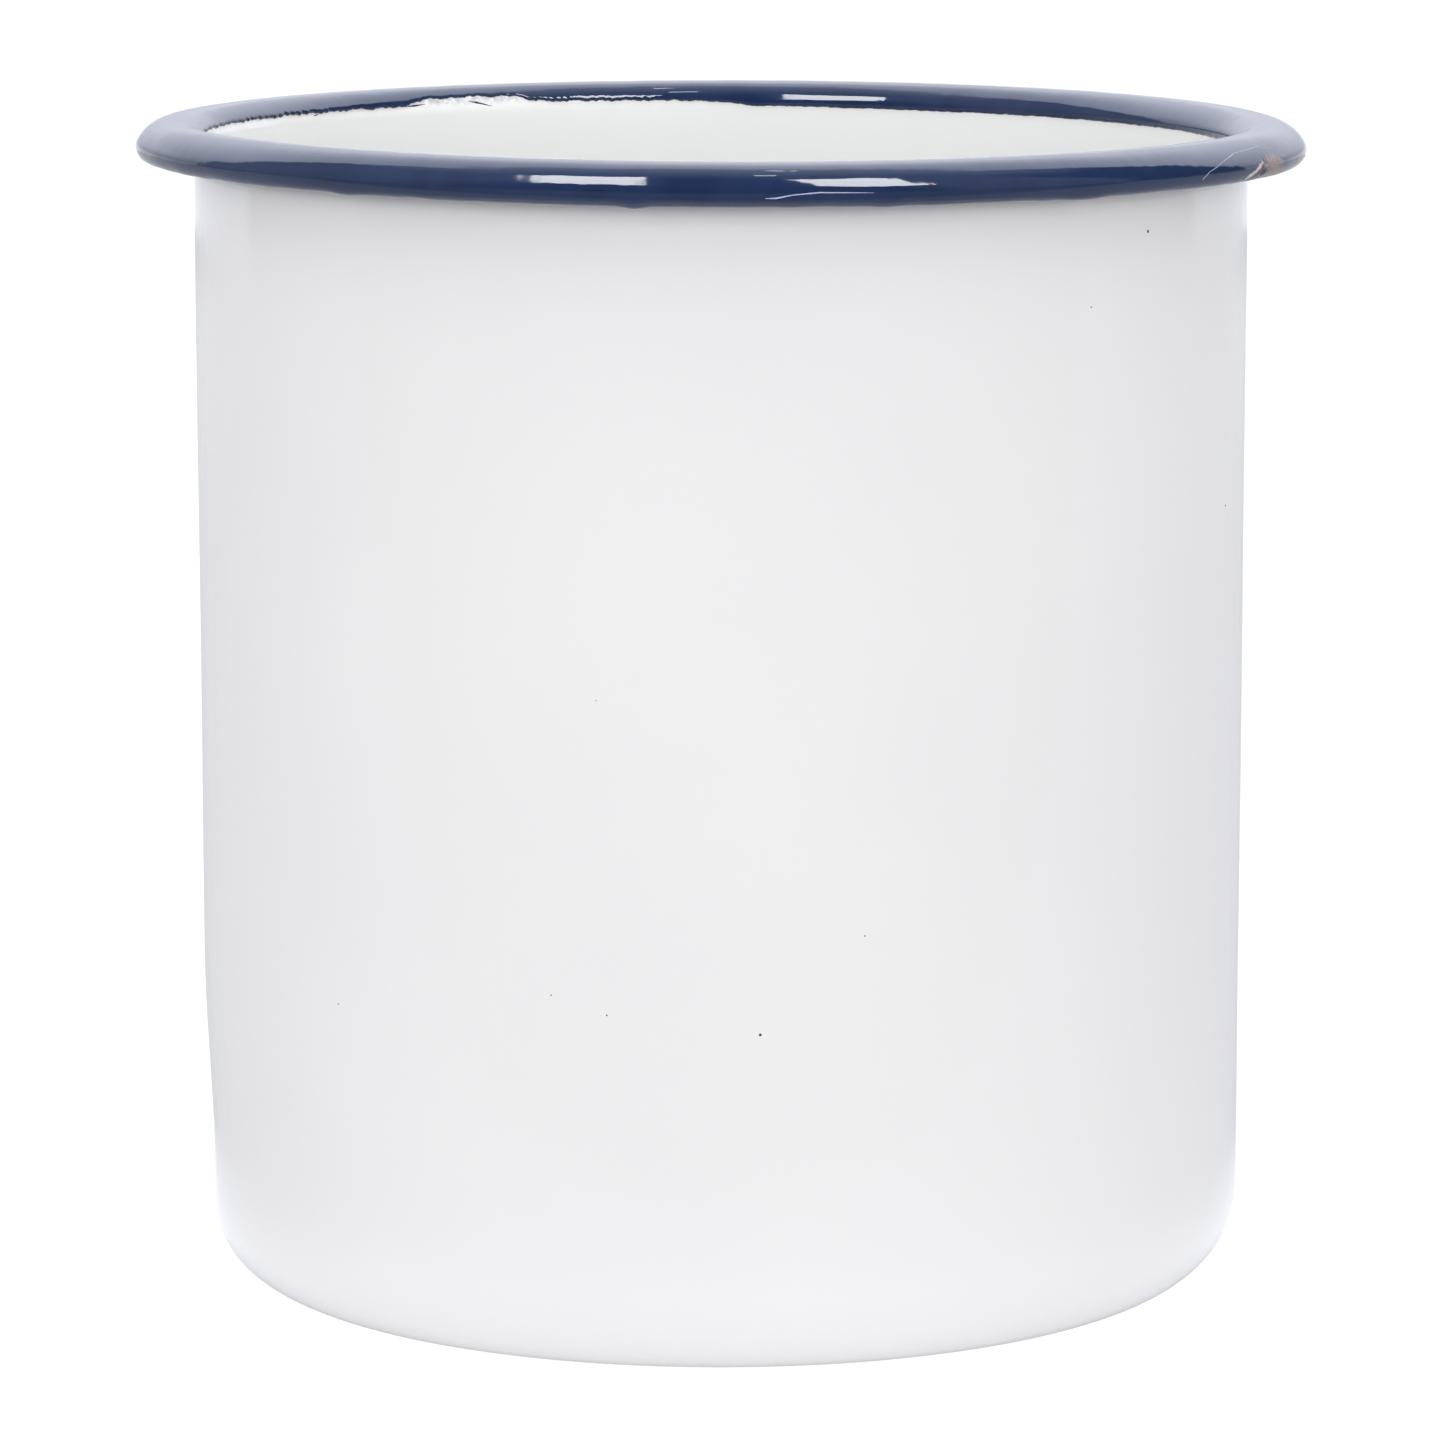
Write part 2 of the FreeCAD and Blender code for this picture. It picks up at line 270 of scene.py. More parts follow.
# Narrow places where the white runs up into the navy, as (azimuth, rise in millimetres, width in degrees).
SPIKES = [(243.0, 0.5, 0.25), (292.0, 0.4, 0.25)]
# Sags of enamel under the rim, as (azimuth, fall in millimetres, width in degrees).
DRIPS = [
    (232, 0.16, 1.6), (262, 0.20, 1.2), (285, 0.12, 1.8), (306, 0.20, 3.2),
    (20, 0.2, 2.0), (64, 0.16, 1.5), (118, 0.22, 1.8), (171, 0.15, 1.4),
]


def ring_noise(azimuth, length, seed):
    """Noise round the mouth whose features are about this long."""
    angle = math.radians(azimuth)
    reach = WALL_TOP_RADIUS / length
    return noise.noise(Vector((reach * math.cos(angle), reach * math.sin(angle), seed)))


def edge_depth(azimuth):
    """How far below the top the navy's inner edge lies at an azimuth."""
    rough = 0.35 + 0.65 * smooth(85, 100, azimuth % 360) * (1 - smooth(160, 200, azimuth % 360))
    depth = between(EDGE, azimuth)
    depth += rough * (0.16 * ring_noise(azimuth, 2.2 * MM, 3.1) + 0.18 * ring_noise(azimuth, 0.8 * MM, 7.7))
    depth += rough * 0.13 * ring_noise(azimuth, 0.35 * MM, 11.3)
    for place, rise, width in SPIKES:
        depth -= rise * math.exp(-(turned_by(azimuth, place) / width) ** 2)
    return max(0.75, depth) * MM


def drip(azimuth):
    """How much the enamel has gathered under the rim at an azimuth, in metres."""
    hang = 0.06 * (1 + ring_noise(azimuth, 9 * MM, 21.0)) + 0.05 * ring_noise(azimuth, 3 * MM, 5.5)
    for place, fall, width in DRIPS:
        hang += fall * math.exp(-(turned_by(azimuth, place) / width) ** 2)
    return hang * MM


def groove_fillet():
    """Centre of the enamel fillet under the rim and the lean at which it leaves the underside."""
    x = wall_radius(OUTSIDE, THROAT_HEIGHT) + GROOVE_FILLET
    reach = FLANK_RADIUS + GROOVE_FILLET
    across = UNDERSIDE_CENTRE[0] - x
    height = UNDERSIDE_CENTRE[1] - math.sqrt(reach ** 2 - across ** 2)
    return (x, height), 180 + math.degrees(math.asin(across / reach))


def gathered(lean):
    """Extra thickness of the navy on the throat at a lean, where it has gathered to a blunt edge."""
    spare = GATHER_RADIUS - THROAT_RADIUS - INSIDE
    turn = math.radians(CREST_START - max(lean, GATHER_END))
    reach = math.sqrt(GATHER_RADIUS ** 2 - (spare * math.sin(turn)) ** 2) - spare * math.cos(turn)
    return (reach - THROAT_RADIUS - INSIDE) * (1 - 0.5 * smooth(0, 20, GATHER_END - lean))


def rim_surface(azimuth):
    """Section of the navy's outer surface from its ragged inner edge to its edge under the rim."""
    outer = THROAT_RADIUS + INSIDE
    top = OVERALL_HEIGHT - edge_depth(azimuth)
    first = -math.degrees(math.acos((top - THROAT_CENTRE[1]) / outer))
    points = []
    steps = [0, 0.06, 0.2, 0.45, 1.0]
    lip = [first + math.degrees(LIP_REACH / outer) * s for s in steps]
    stretch = [lip[-1] + (CREST_START - lip[-1]) * i / 14 for i in range(1, 15)]
    for lean in lip + stretch:
        along = math.radians(lean - first) * outer
        rise = gathered(lean) + OVERLAP * (1 - smooth(COVERED_LEAN, CREST_START, lean))
        rise *= math.sqrt(1 - (1 - min(1.0, along / LIP_REACH)) ** 2)
        points.append((polar(THROAT_CENTRE, outer + rise, lean), lean, smooth(0, 1.5 * MM, along)))
    for i in range(1, 15):
        lean = CREST_START + (CREST_END - CREST_START) * i / 14
        points.append((polar(CREST_CENTRE, FLANK_RADIUS, lean), lean, 1.0))
    for i in range(1, 19):
        lean = CREST_END + (NOSE_END - CREST_END) * i / 18
        points.append((polar(NOSE_CENTRE, NOSE_RADIUS, lean), lean, 1.0))
    fillet, leaves = groove_fillet()
    for i in range(1, 9):
        lean = NOSE_END + (leaves - NOSE_END) * i / 8
        points.append((polar(UNDERSIDE_CENTRE, FLANK_RADIUS, lean), lean, 1.0 - 0.5 * i / 8))
    for i in range(1, 6):
        lean = leaves - 180 + (-90 - leaves + 180) * i / 6
        points.append((polar(fillet, GROOVE_FILLET, lean), lean + 180, 0.5 - 0.5 * i / 6))
    return points


def rim_seat(azimuth):
    """Section of the navy's underneath, from the edge under the rim back to the inner edge."""
    lower = GROOVE_HEIGHT - (0.25 + 0.25 * ring_noise(azimuth, 2.5 * MM, 31.0)) * MM
    steel_side = UNDER_INSIDE_COVER
    path = [
        (wall_radius(OUTSIDE, lower) + 0.05 * MM, lower + 0.03 * MM),
        (wall_radius(OUTSIDE, lower), lower),
        (wall_radius(OUTSIDE, COVERED_TOP), COVERED_TOP),
        (wall_radius(UNDER_OUTSIDE_COVER, COVERED_TOP), COVERED_TOP),
    ]
    path += throat_face(UNDER_OUTSIDE_COVER, THROAT_COAT_LEAN)
    path += list(reversed(roll_face(steel_side)))
    path += arc(THROAT_CENTRE, THROAT_RADIUS + steel_side, CREST_START, COVERED_LEAN, 2)
    top = OVERALL_HEIGHT - edge_depth(azimuth)
    outer = THROAT_RADIUS + INSIDE
    last = -math.degrees(math.acos((top - THROAT_CENTRE[1]) / outer))
    path += arc(THROAT_CENTRE, outer, COVERED_LEAN, last, 5)[:-1]
    return path


def lumps(azimuth, lean):
    """Slight unevenness of the thick enamel, along the surface's normal, in metres."""
    angle = math.radians(azimuth)
    turn = math.radians(lean)
    place = Vector((18 * math.cos(angle), 18 * math.sin(angle), 1.2 * turn))
    return (0.022 * noise.noise(place) + 0.008 * noise.noise(place * 2.7 + Vector((4, 1, 9)))) * MM


# Damage low on the rim's right side, as (azimuth, lean): a pale chipped line, and beside it a rusted patch
# in two parts and a dark pit. The patches and the pit also have their half widths.
CHIP_LINE = ((331.0, 137.0), (334.0, 70.0))
CHIP_WIDTH = 0.42 * MM
RUST_PATCHES = [(337.0, 82.0, 3.0, 32.0), (338.0, 136.0, 4.0, 30.0)]
PITS = [(334.0, 115.0, 0.75, 16.0)]
CHIP_DEPTH = 0.13 * MM
DAMAGED = 9.0               # degrees each side of the first rusted patch that are worked over


def over_patch(azimuth, lean, patch):
    """1 in the middle of a patch of damage and 0 past its ragged edge."""
    middle, level, half_azimuth, half_lean = patch
    ragged = 0.35 * noise.noise(Vector((azimuth * 1.7, lean * 0.06, 3.0)))
    reach = math.hypot((azimuth - middle) / half_azimuth, (lean - level) / half_lean)
    return 1 - smooth(0.55, 1.15, reach + ragged)


def chipped(azimuth, lean):
    """1 along the chipped line across the rim's nose, 0 away from it."""
    around, across = math.radians(1) * OVERALL_HEIGHT / 2, math.radians(1) * NOSE_RADIUS
    (first, start), (last, stop) = CHIP_LINE
    line = Vector(((last - first) * around, (stop - start) * across))
    place = Vector(((azimuth - first) * around, (lean - start) * across))
    share = min(1.0, max(0.0, place.dot(line) / line.dot(line)))
    width = CHIP_WIDTH * (0.8 + 0.5 * noise.noise(Vector((share * 6, 0.0, 5.0)))) * (1.15 - 0.5 * share)
    return 1 - smooth(0.6 * width, 1.25 * width, (place - line * share).length)


def damage(azimuth, lean):
    """How far a point of the rim is chipped, rusted and pitted."""
    azimuth %= 360
    pit = max(over_patch(azimuth, lean, patch) for patch in PITS)
    if turned_by(azimuth, RUST_PATCHES[0][0]) > DAMAGED:
        return 0.0, 0.0, pit
    return chipped(azimuth, lean), max(over_patch(azimuth, lean, patch) for patch in RUST_PATCHES), pit


def navy_rim(material):
    """The navy coat over the rolled rim, closed all round."""
    verts, faces = [], []
    wear = {"chipped": [], "rusted": [], "pitted": []}
    for k in range(RIM_SEGMENTS):
        azimuth = 360.0 * k / RIM_SEGMENTS
        angle = math.radians(azimuth)
        across, along = math.cos(angle), math.sin(angle)
        fall = drip(azimuth)
        section = []
        for (radius, height), lean, free in rim_surface(azimuth):
            turn = math.radians(lean)
            out = lumps(azimuth, lean) * free
            hang = fall * smooth(95, 165, lean) * free
            worn = damage(azimuth, lean)
            out -= CHIP_DEPTH * max(worn[0], worn[2], 0.3 * worn[1])
            for values, value in zip(wear.values(), worn):
                values.append(value)
            section.append((radius + out * math.sin(turn), height + out * math.cos(turn) - hang))
        seat = rim_seat(azimuth)
        section += seat
        for values in wear.values():
            values.extend([0.0] * len(seat))
        for radius, height in section:
            verts.append(settle(radius * across, radius * along, height))
    count = len(section)
    for k in range(RIM_SEGMENTS):
        following = (k + 1) % RIM_SEGMENTS
        for j in range(count):
            n = (j + 1) % count
            faces.append((k * count + j, following * count + j, following * count + n, k * count + n))
    rim = make_object("navy_rim_coat", verts, faces, material)
    for name, values in wear.items():
        rim.data.attributes.new(name, "FLOAT", "POINT").data.foreach_set("value", values)
    return rim


# ---------------------------------------------------------------- small marks on the enamel
# Each run is a line of (azimuth, lean, half width in millimetres) over the rim's surface: flecks of navy on
# the white, a scratch with a painted glint, a small rust spot in the front of the rim, a fine crack by the
# chip.
NAVY_FLECKS = [
    [(127, -62, 0.02), (128.5, -64, 0.13), (130, -65, 0.02)],
    [(121, -60, 0.02), (120, -63, 0.14), (118, -72, 0.02)],
    [(132.5, -58, 0.02), (133.5, -60, 0.07), (134.5, -60, 0.02)],
    [(144, -67, 0.02), (144.5, -69, 0.09), (145, -70, 0.02)],
]
SCRATCH_AND_GLINT = [
    [(274, 109, 0.03), (275, 108, 0.10), (276.5, 95, 0.05), (279, 86, 0.07), (284, 90, 0.02)],
]
RUST_SPOTS = [[(289.3, 60, 0.05), (289.5, 60, 0.15), (289.7, 60, 0.05)]]
HAIRLINES = [
    [(322, 118, 0.02), (322, 105, 0.09), (323, 80, 0.05), (325, 58, 0.04), (329, 43, 0.06), (335, 38, 0.035),
     (338, 48, 0.03), (341, 70, 0.02)],
]


def rim_point(azimuth, lean, lift):
    """A point at a lift off the rim's finished surface, before it settles."""
    if lean < CREST_START:
        centre, radius = THROAT_CENTRE, THROAT_RADIUS + INSIDE
    elif lean < CREST_END:
        centre, radius = CREST_CENTRE, FLANK_RADIUS
    else:
        centre, radius = NOSE_CENTRE, NOSE_RADIUS
    out, height = polar(centre, radius + lumps(azimuth, lean) * smooth(-40, -20, lean) + lift, lean)
    angle = math.radians(azimuth)
    return Vector((out * math.cos(angle), out * math.sin(angle), height))


def surface_runs(name, runs, rise, sunk, material):
    """Low rounded beads of enamel along lines on the rim, each one closed and tapered to its ends."""
    verts, faces = [], []
    spans, sides = 6, 8
    for stops in runs:
        line = []
        for (first, second) in zip(stops, stops[1:]):
            for i in range(spans):
                line.append([a + (b - a) * i / spans for a, b in zip(first, second)])
        line.append(list(stops[-1]))
        start = len(verts)
        for i, (azimuth, lean, width) in enumerate(line):
            here = rim_point(azimuth, lean, 0.0)
            normal = (rim_point(azimuth, lean, MM) - here).normalized()
            before, after = line[max(0, i - 1)], line[min(len(line) - 1, i + 1)]
            along = (rim_point(after[0], after[1], 0.0) - rim_point(before[0], before[1], 0.0)).normalized()
            across = normal.cross(along)
            half = width * MM * (1 + 0.25 * noise.noise(here * 4000))
            for k in range(sides):
                turn = 2 * math.pi * k / sides
                height = math.sin(turn) * (rise if math.sin(turn) > 0 else sunk)
                spot = here + across * (half * math.cos(turn)) + normal * (height * min(1.0, width / 0.05))
                verts.append(settle(*spot))
        rings = len(line)
        for i in range(rings - 1):
            for k in range(sides):
                n = (k + 1) % sides
                low, high = start + i * sides, start + (i + 1) * sides
                faces.append((low + k, low + n, high + n, high + k))
        faces.append([start + k for k in reversed(range(sides))])
        faces.append([start + (rings - 1) * sides + k for k in range(sides)])
    return make_object(name, verts, faces, material)


# Iron specks in the white, as (azimuth, height, half width), the sizes in millimetres: first those of the
# near side, then scattered ones for the rest of the wall.
NEAR_SPECKS = [
    (321, 130, 0.20), (274, 41, 0.17), (312, 122, 0.10), (285, 52, 0.09), (225, 41, 0.10), (252, 45, 0.09),
    (258, 43, 0.10), (257, 79, 0.07), (341, 96, 0.14),
]
SCATTERED_SPECKS = 26


def wall_specks(material):
    """Small dark specks that stand just proud of the outside coat, each a low closed dome."""
    chance = random.Random(7)
    specks = list(NEAR_SPECKS)
    for _ in range(SCATTERED_SPECKS):
        place = (chance.uniform(-5, 185), chance.uniform(14, 128))
        specks.append(place + (chance.choice((0.05, 0.06, 0.08, 0.11)),))
    verts, faces = [], []
    sides = 10
    for azimuth, level, size in specks:
        angle, height, half = math.radians(azimuth), level * MM, size * MM
        out = Vector((math.cos(angle), math.sin(angle), 0.0))
        across = Vector((-math.sin(angle), math.cos(angle), 0.0))
        start = len(verts)
        for share, lift in ((1.0, -0.3), (1.0, 0.02), (0.7, 0.2), (0.35, 0.27)):
            for k in range(sides):
                turn = 2 * math.pi * k / sides
                ragged = noise.noise(Vector((3 * math.cos(turn), 3 * math.sin(turn), level)))
                reach = half * share * (1 + 0.3 * ragged)
                spot = out * (wall_radius(OUTSIDE, height) + lift * half) + across * (reach * math.cos(turn))
                verts.append(settle(spot.x, spot.y, height + reach * math.sin(turn)))
        for row in range(3):
            for k in range(sides):
                n = (k + 1) % sides
                low, high = start + row * sides, start + (row + 1) * sides
                faces.append((low + k, low + n, high + n, high + k))
        faces.append([start + k for k in reversed(range(sides))])
        faces.append([start + 3 * sides + k for k in range(sides)])
    return make_object("wall_specks", verts, faces, material)


# ---------------------------------------------------------------- materials
def new_material(name):
    material = bpy.data.materials.new(name)
    material.use_nodes = True
    tree = material.node_tree
    return material, tree, tree.nodes["Principled BSDF"]


def node(tree, kind, **settings):
    made = tree.nodes.new(kind)
    for key, value in settings.items():
        if key in made.inputs:
            made.inputs[key].default_value = value
        else:
            setattr(made, key, value)
    return made


def ramp(tree, source, low, high, first, last):
    """A value mapped smoothly from low..high to first..last."""
    made = tree.nodes.new("ShaderNodeMapRange")
    made.interpolation_type = "SMOOTHSTEP"
    for index, value in enumerate((low, high, first, last), start=1):
        made.inputs[index].default_value = value
    tree.links.new(source, made.inputs[0])
    return made.outputs[0]


def mix_colour(tree, share, first, last):
    """Mix of two colours, each a tuple or a socket, by a value socket."""
    made = tree.nodes.new("ShaderNodeMix")
    made.data_type = "RGBA"
    tree.links.new(share, made.inputs["Factor"])
    for socket, value in ((made.inputs[6], first), (made.inputs[7], last)):
        if isinstance(value, tuple):
            socket.default_value = value + (1.0,)
        else:
            tree.links.new(value, socket)
    return made.outputs[2]


def link_math(tree, operation, *values):
    """A Math node's output, from sockets and numbers."""
    made = tree.nodes.new("ShaderNodeMath")
    made.operation = operation
    for socket, value in zip(made.inputs, values):
        if isinstance(value, (int, float)):
            socket.default_value = value
        else:
            tree.links.new(value, socket)
    return made.outputs[0]


def mix_number(tree, share, first, last):
    return link_math(tree, "MULTIPLY_ADD", share, link_math(tree, "SUBTRACT", last, first), first)


def noise_socket(tree, place, scale, detail=2.0):
    made = node(tree, "ShaderNodeTexNoise", Scale=scale, Detail=detail)
    tree.links.new(place, made.inputs["Vector"])
    return made.outputs["Fac"]


def wear(tree, name):
    """A value kept on the mesh's points."""
    return node(tree, "ShaderNodeAttribute", attribute_name=name).outputs["Fac"]


def add_bump(tree, shader, height, distance, strength=1.0, under=None):
    bump = node(tree, "ShaderNodeBump", Distance=distance, Strength=strength)
    tree.links.new(height, bump.inputs["Height"])
    if under is not None:
        tree.links.new(under, bump.inputs["Normal"])
    tree.links.new(bump.outputs["Normal"], shader.inputs["Normal"])
    return bump.outputs["Normal"]


def white_enamel(name, thin, thick, thin_above=None):
    """White cover enamel, a little darker where thin, and mottled grey above a height if one is given."""
    material, tree, shader = new_material(name)
    shader.inputs["IOR"].default_value = 1.52
    shader.inputs["Specular IOR Level"].default_value = 0.32
    place = tree.nodes.new("ShaderNodeTexCoord").outputs["Object"]
    cloud = ramp(tree, noise_socket(tree, place, 22, 3), 0.3, 0.7, 0, 1)
    colour = mix_colour(tree, cloud, thin, thick)
    if thin_above is not None:
        split = tree.nodes.new("ShaderNodeSeparateXYZ")
        tree.links.new(place, split.inputs[0])
        fading = ramp(tree, split.outputs["Z"], thin_above, thin_above + 0.9 * MM, 0, 0.75)
        mottled = ramp(tree, noise_socket(tree, place, 1300, 3), 0.35, 0.65, 0.2, 1)
        bare = link_math(tree, "MULTIPLY", fading, mottled)
        colour = mix_colour(tree, bare, colour, (0.44, 0.45, 0.52))
    tree.links.new(colour, shader.inputs["Base Color"])
    rough = ramp(tree, noise_socket(tree, place, 60, 2), 0.3, 0.7, 0.07, 0.12)
    tree.links.new(rough, shader.inputs["Roughness"])
    add_bump(tree, shader, noise_socket(tree, place, 420, 1), 0.02 * MM, 0.5)
    return material


def navy_enamel():
    material, tree, shader = new_material("navy_enamel")
    shader.inputs["IOR"].default_value = 1.52
    place = tree.nodes.new("ShaderNodeTexCoord").outputs["Object"]
    cloud = ramp(tree, noise_socket(tree, place, 160, 4), 0.3, 0.7, 0, 1)
    colour = mix_colour(tree, cloud, (0.011, 0.0235, 0.074), (0.015, 0.031, 0.090))
    rusty = mix_colour(tree, noise_socket(tree, place, 2600, 3), (0.12, 0.085, 0.065), (0.34, 0.25, 0.21))
    colour = mix_colour(tree, wear(tree, "rusted"), colour, rusty)
    pale = mix_colour(tree, noise_socket(tree, place, 1800, 2), (0.52, 0.42, 0.42), (0.78, 0.68, 0.69))
    colour = mix_colour(tree, wear(tree, "chipped"), colour, pale)
    colour = mix_colour(tree, wear(tree, "pitted"), colour, (0.085, 0.045, 0.050))
    tree.links.new(colour, shader.inputs["Base Color"])
    rough = ramp(tree, noise_socket(tree, place, 90, 2), 0.3, 0.7, 0.03, 0.07)
    half_rusted = link_math(tree, "MULTIPLY", wear(tree, "rusted"), 0.5)
    worn = link_math(tree, "MAXIMUM", wear(tree, "pitted"), half_rusted)
    worn = link_math(tree, "MAXIMUM", wear(tree, "chipped"), worn)
    tree.links.new(mix_number(tree, worn, rough, 0.5), shader.inputs["Roughness"])
    add_bump(tree, shader, noise_socket(tree, place, 520, 1), 0.02 * MM, 0.4)
    return material


def small_mark(name, first, last, roughness):
    """A glossy or matt mark whose colour varies a little along it."""
    material, tree, shader = new_material(name)
    place = tree.nodes.new("ShaderNodeTexCoord").outputs["Object"]
    colour = mix_colour(tree, noise_socket(tree, place, 2400, 3), first, last)
    tree.links.new(colour, shader.inputs["Base Color"])
    shader.inputs["Roughness"].default_value = roughness
    shader.inputs["IOR"].default_value = 1.52
    return material


def dark_ground():
    material, tree, shader = new_material("ground_enamel")
    place = tree.nodes.new("ShaderNodeTexCoord").outputs["Object"]
    colour = mix_colour(tree, noise_socket(tree, place, 300, 3), (0.008, 0.009, 0.016), (0.02, 0.022, 0.035))
    tree.links.new(colour, shader.inputs["Base Color"])
    shader.inputs["Roughness"].default_value = 0.25
    return material


def sheet_steel():
    material, tree, shader = new_material("sheet_steel")
    place = tree.nodes.new("ShaderNodeTexCoord").outputs["Object"]
    colour = mix_colour(tree, noise_socket(tree, place, 500, 4), (0.42, 0.43, 0.44), (0.56, 0.57, 0.58))
    tree.links.new(colour, shader.inputs["Base Color"])
    shader.inputs["Metallic"].default_value = 1.0
    shader.inputs["Roughness"].default_value = 0.4
    return material


# ---------------------------------------------------------------- the pieces
WHITE_SEGMENTS = 360
HIDDEN_SEGMENTS = 180


def closed(outer, inner):
    return outer + list(reversed(inner))


def build():
    outer_white = white_enamel("white_enamel_outside", (0.850, 0.849, 0.861), (0.868, 0.867, 0.878))
    # The inside coat's colour is set lighter than the outside coat's: that extra lightness is painted light
    # for the hollow of the pail.
    inner_white_painted_lighter = white_enamel("white_enamel_inside", (0.900, 0.908, 0.903), (0.912, 0.918, 0.912),
                               OVERALL_HEIGHT - 2.6 * MM)
    navy, ground, steel = navy_enamel(), dark_ground(), sheet_steel()

    def sheet_line(depth):
        return base_face(depth) + wall_face(depth, CORNER_RADIUS + 0.98 * (THROAT_HEIGHT - CORNER_RADIUS)) \
            + throat_face(depth)

    def outside_line(depth, top, fine=1):
        return base_face(depth, fine) + wall_face(depth, top, fine)

    wall_top = CORNER_RADIUS + 0.98 * (THROAT_HEIGHT - CORNER_RADIUS)
    pieces = {}
    pieces["white_outside_coat"] = turn(
        "white_outside_coat",
        closed(outside_line(OUTSIDE, COVERED_TOP, 2), outside_line(UNDER_OUTSIDE_COVER, COVERED_TOP)),
        WHITE_SEGMENTS, outer_white)

    def inside_line(depth, fine=1):
        return outside_line(depth, wall_top, fine) + throat_face(depth, COVERED_LEAN, 2)

    pieces["white_inside_coat"] = turn(
        "white_inside_coat", closed(inside_line(UNDER_INSIDE_COVER), inside_line(INSIDE, 2)),
        WHITE_SEGMENTS, inner_white_painted_lighter)
    pieces["navy_rim_coat"] = navy_rim(navy)
    glossy_navy = small_mark("navy_fleck", (0.011, 0.024, 0.076), (0.024, 0.045, 0.11), 0.05)
    pieces["navy_flecks"] = surface_runs("navy_flecks", NAVY_FLECKS, 0.035 * MM, 0.08 * MM, glossy_navy)
    # The scratch's bright bluish white is a painted glint: the colour stands in for light caught along the
    # scratch.
    painted_glint_line = small_mark("scratch_with_painted_glint", (0.34, 0.38, 0.62), (0.62, 0.66, 0.85), 0.2)
    rust = small_mark("rust_spot", (0.10, 0.040, 0.022), (0.26, 0.12, 0.075), 0.45)
    pieces["rust_spots"] = surface_runs("rust_spots", RUST_SPOTS, 0.03 * MM, 0.08 * MM, rust)
    pieces["rim_scratch_and_glint"] = surface_runs("rim_scratch_and_glint", SCRATCH_AND_GLINT, 0.015 * MM, 0.08 * MM, painted_glint_line)
    pale_line = small_mark("craze_line", (0.22, 0.25, 0.38), (0.36, 0.39, 0.52), 0.35)
    pieces["hairline_cracks"] = surface_runs("hairline_cracks", HAIRLINES, 0.012 * MM, 0.08 * MM, pale_line)
    iron = small_mark("iron_speck", (0.02, 0.018, 0.02), (0.10, 0.09, 0.09), 0.3)
    pieces["wall_specks"] = wall_specks(iron)
    pieces["steel_sheet"] = turn(
        "steel_sheet",
        closed(sheet_line(STEEL_OUTSIDE) + roll_face(STEEL_OUTSIDE),
               sheet_line(STEEL_INSIDE) + roll_face(STEEL_INSIDE)),
        HIDDEN_SEGMENTS, steel)
    pieces["ground_inside_coat"] = turn(
        "ground_inside_coat",
        closed(sheet_line(STEEL_INSIDE) + roll_face(STEEL_INSIDE),
               sheet_line(UNDER_INSIDE_COVER) + roll_face(UNDER_INSIDE_COVER)),
        HIDDEN_SEGMENTS, ground)

    def ground_line(depth):
        return outside_line(depth, wall_top) + throat_face(depth, THROAT_COAT_LEAN)

    pieces["ground_outside_coat"] = turn(
        "ground_outside_coat", closed(ground_line(UNDER_OUTSIDE_COVER), ground_line(STEEL_OUTSIDE)),
        HIDDEN_SEGMENTS, ground)
    return pieces


STANDS_FOR = {
    "white_outside_coat": ("white_enamel_outside", "white_enamel"),
    "white_inside_coat": ("white_enamel_inside", "white_enamel"),
    "navy_rim_coat": ("navy_rim_enamel", "navy_enamel"),
    "steel_sheet": ("steel_shell", "sheet_steel"),
    "ground_inside_coat": ("ground_enamel_inside", "ground_enamel"),
    "ground_outside_coat": ("ground_enamel_outside", "ground_enamel"),
}
MARKS = {
    "navy_flecks": "navy_enamel",
    "rim_scratch_and_glint": "navy_enamel",
    "rust_spots": "navy_enamel",
    "hairline_cracks": "navy_enamel",
    "wall_specks": "ground_enamel",
}
pieces = build()
for name, (cad_node, slot) in STANDS_FOR.items():
    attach(pieces[name], "root")
    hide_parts(cad_node)
for name, slot in MARKS.items():
    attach(pieces[name], "root")


# ---------------------------------------------------------------- floor, light and camera
PAPER_FRONT = -0.155        # the white paper ends here in front of the pail
PAPER_REACH = 1.4           # and here all round, where the backdrop or the room begins
PAPER_GLOW = (0.90, 0.42)   # beside the pail and further off, as the gloss shows it
SWEEP_HALF_ANGLE = 58.0     # the white backdrop behind the pail, and how high it stands
SWEEP_TOP = 64.0
SWEEP_GLOW = (0.85, 1.45, 2.40)     # level with the rim, at 15 degrees and from 37 degrees up
ROOM_GLOW = 0.08
CEILING_GLOW = 1.2          # where the backdrop's light spills over the ceiling, fading towards the front
SIDE_GLOW = 0.50
GLOSS_TINT = (0.94, 0.965, 1.06)    # the backdrop and the paper look a little blue in the gloss


